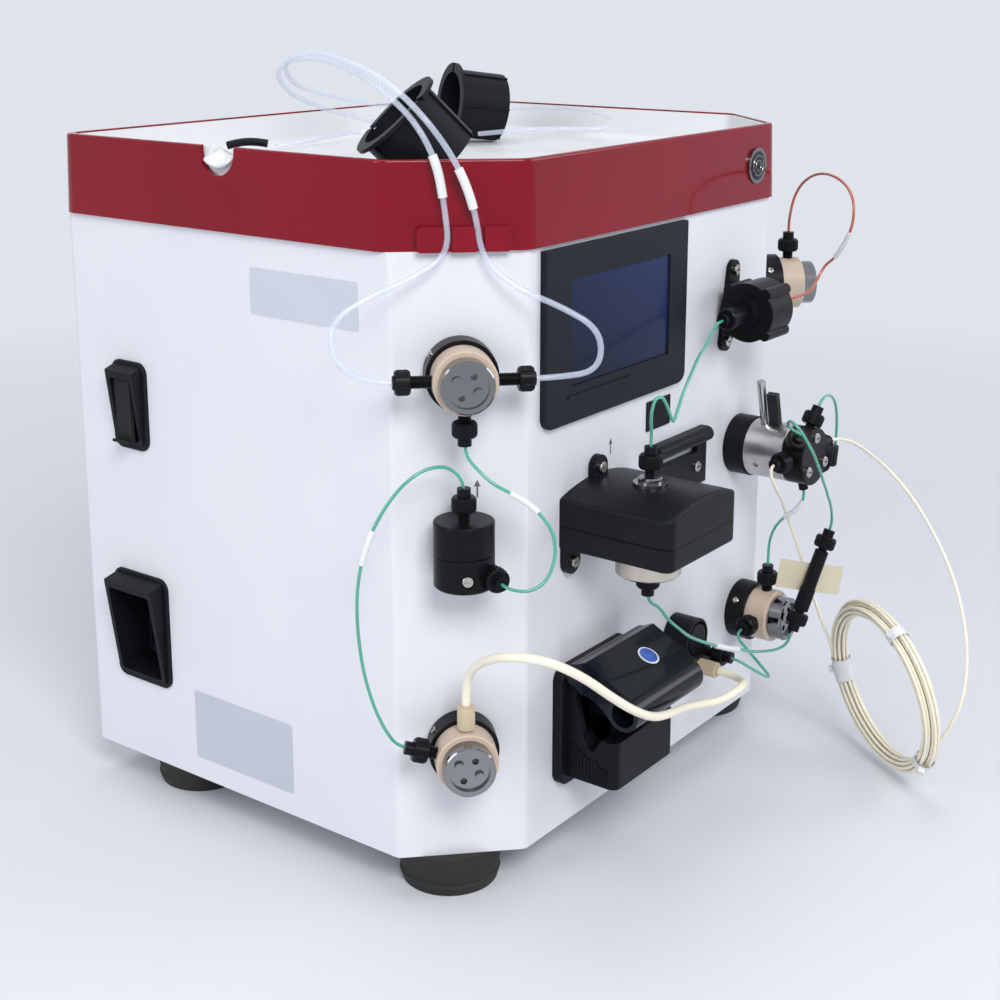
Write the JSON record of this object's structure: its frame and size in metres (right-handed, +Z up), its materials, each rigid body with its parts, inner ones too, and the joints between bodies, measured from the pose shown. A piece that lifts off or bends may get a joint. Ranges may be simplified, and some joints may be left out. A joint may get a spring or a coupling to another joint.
{
  "type": "liquid chromatography system",
  "caption": "Benchtop liquid chromatography system: white case with a crimson rim and tray, touch screen, rotary valves, flip-lid pump, mixer, detectors, and tubing",
  "frame": {"origin": "On the bench, under the middle of the rigid pieces' bounding box", "axes": "+X to the right along the front panel, +Y towards the back, +Z up"},
  "size_m": [0.4152, 0.4611, 0.4581],
  "materials": {
    "case_white": "satin",
    "rim_crimson": "gloss",
    "badge_metal": "polished",
    "tray_white": "satin",
    "foot_black": "matte",
    "bezel_black": "satin",
    "screen_glass": "gloss",
    "valve_beige": "satin",
    "collar_black": "satin",
    "cap_chrome": "polished",
    "mixer_black": "satin",
    "optics_black": "satin",
    "flow_cell_steel": "satin",
    "gland_chrome": "polished",
    "holder_grey": "satin",
    "cover_black": "matte",
    "cell_black": "satin",
    "barrel_steel": "brushed",
    "handle_chrome": "polished",
    "stator_black": "satin",
    "restrictor_black": "satin",
    "sensor_black": "satin",
    "pump_black": "gloss",
    "rotor_grey": "satin",
    "lid_gloss": "gloss",
    "motor_steel": "satin",
    "recess_black": "satin",
    "flap_rubber": "matte",
    "holder_black": "satin",
    "supply_metal": "satin",
    "board_green": "satin",
    "fitting_black": "satin",
    "fitting_cream": "satin",
    "screw_steel": "satin",
    "tube_clear": "gloss",
    "tube_green": "gloss",
    "tube_cream": "satin",
    "tube_red": "gloss"
  },
  "bodies": {
    "case": {"housing_shell": "case_white", "base_plate": "case_white", "rear_panel": "case_white", "top_rim": "rim_crimson", "badge_disc": "badge_metal", "buffer_tray": "tray_white", "feet": "foot_black", "display_bezel": "bezel_black", "touch_screen": "screen_glass", "valve_bodies": "valve_beige", "valve_collars": "collar_black", "injection_collar": "collar_black", "valve_caps": "cap_chrome", "mixer_base": "mixer_black", "mixer_chamber": "mixer_black", "optics_upper_cover": "optics_black", "optics_lower_cover": "optics_black", "optics_flow_cell": "flow_cell_steel", "optics_gland": "gland_chrome", "column_holder": "holder_grey", "column_cover": "cover_black", "conductivity_cell": "cell_black", "conductivity_bracket": "cell_black", "injection_stator": "stator_black", "flow_restrictor": "restrictor_black", "pressure_sensor": "sensor_black", "pump_housing": "pump_black", "pump_motor": "motor_steel", "valve_drives": "motor_steel", "power_hood": "recess_black", "usb_hood": "recess_black", "power_inlet": "recess_black", "tube_holder_front": "holder_black", "tube_holder_rear": "holder_black", "power_supply": "supply_metal", "control_board": "board_green", "finger_fittings": "fitting_black", "pump_tube_fittings": "fitting_cream", "panel_screws": "screw_steel", "buffer_tube_left": "tube_clear", "buffer_tube_right": "tube_clear", "tube_buffer_mixer": "tube_green", "tube_mixer_sample": "tube_green", "tube_optics_restrictor": "tube_green", "tube_wash_sensor": "tube_green", "tube_wash_injection": "tube_green", "tube_injection_restrictor": "tube_green", "tube_injection_bridge": "tube_green", "tube_conductivity_optics": "tube_green", "pump_tube": "tube_cream", "loop_lead_upper": "tube_cream", "loop_lead_lower": "tube_cream", "sample_coil": "tube_cream", "outlet_tube": "tube_red"},
    "pump_lid": {"pump_lid": "lid_gloss"},
    "pump_rotor": {"pump_rotor": "rotor_grey"},
    "injection_knob": {"injection_barrel": "barrel_steel", "injection_handle": "handle_chrome"},
    "rocker": {"power_rocker": "recess_black"},
    "data_flap": {"usb_flap": "flap_rubber"}
  },
  "joints": [
    {"name": "pump_lid_hinge", "type": "hinge", "parent": "case", "child": "pump_lid", "pos_m": [-0.06515, -0.12925, 0.121], "axis": [-1, 0, 0], "range_deg": [-20, 16]},
    {"name": "pump_rotor_spin", "type": "hinge", "parent": "case", "child": "pump_rotor", "pos_m": [-0.06315, -0.13125, 0.088], "axis": [0, -1, 0], "continuous": true},
    {"name": "injection_valve_turn", "type": "hinge", "parent": "case", "child": "injection_knob", "pos_m": [0.10055, -0.14125, 0.2059], "axis": [0, -1, 0], "range_deg": [-48, 29]},
    {"name": "power_rocker_tilt", "type": "hinge", "parent": "case", "child": "rocker", "pos_m": [-0.16015, 0.13425, 0.124], "axis": [0, 1, 0], "range_deg": [0, 15]},
    {"name": "data_flap_hinge", "type": "hinge", "parent": "case", "child": "data_flap", "pos_m": [-0.18325, 0.13495, 0.26525], "axis": [0, 1, 0], "range_deg": [0, 50]}
  ]
}
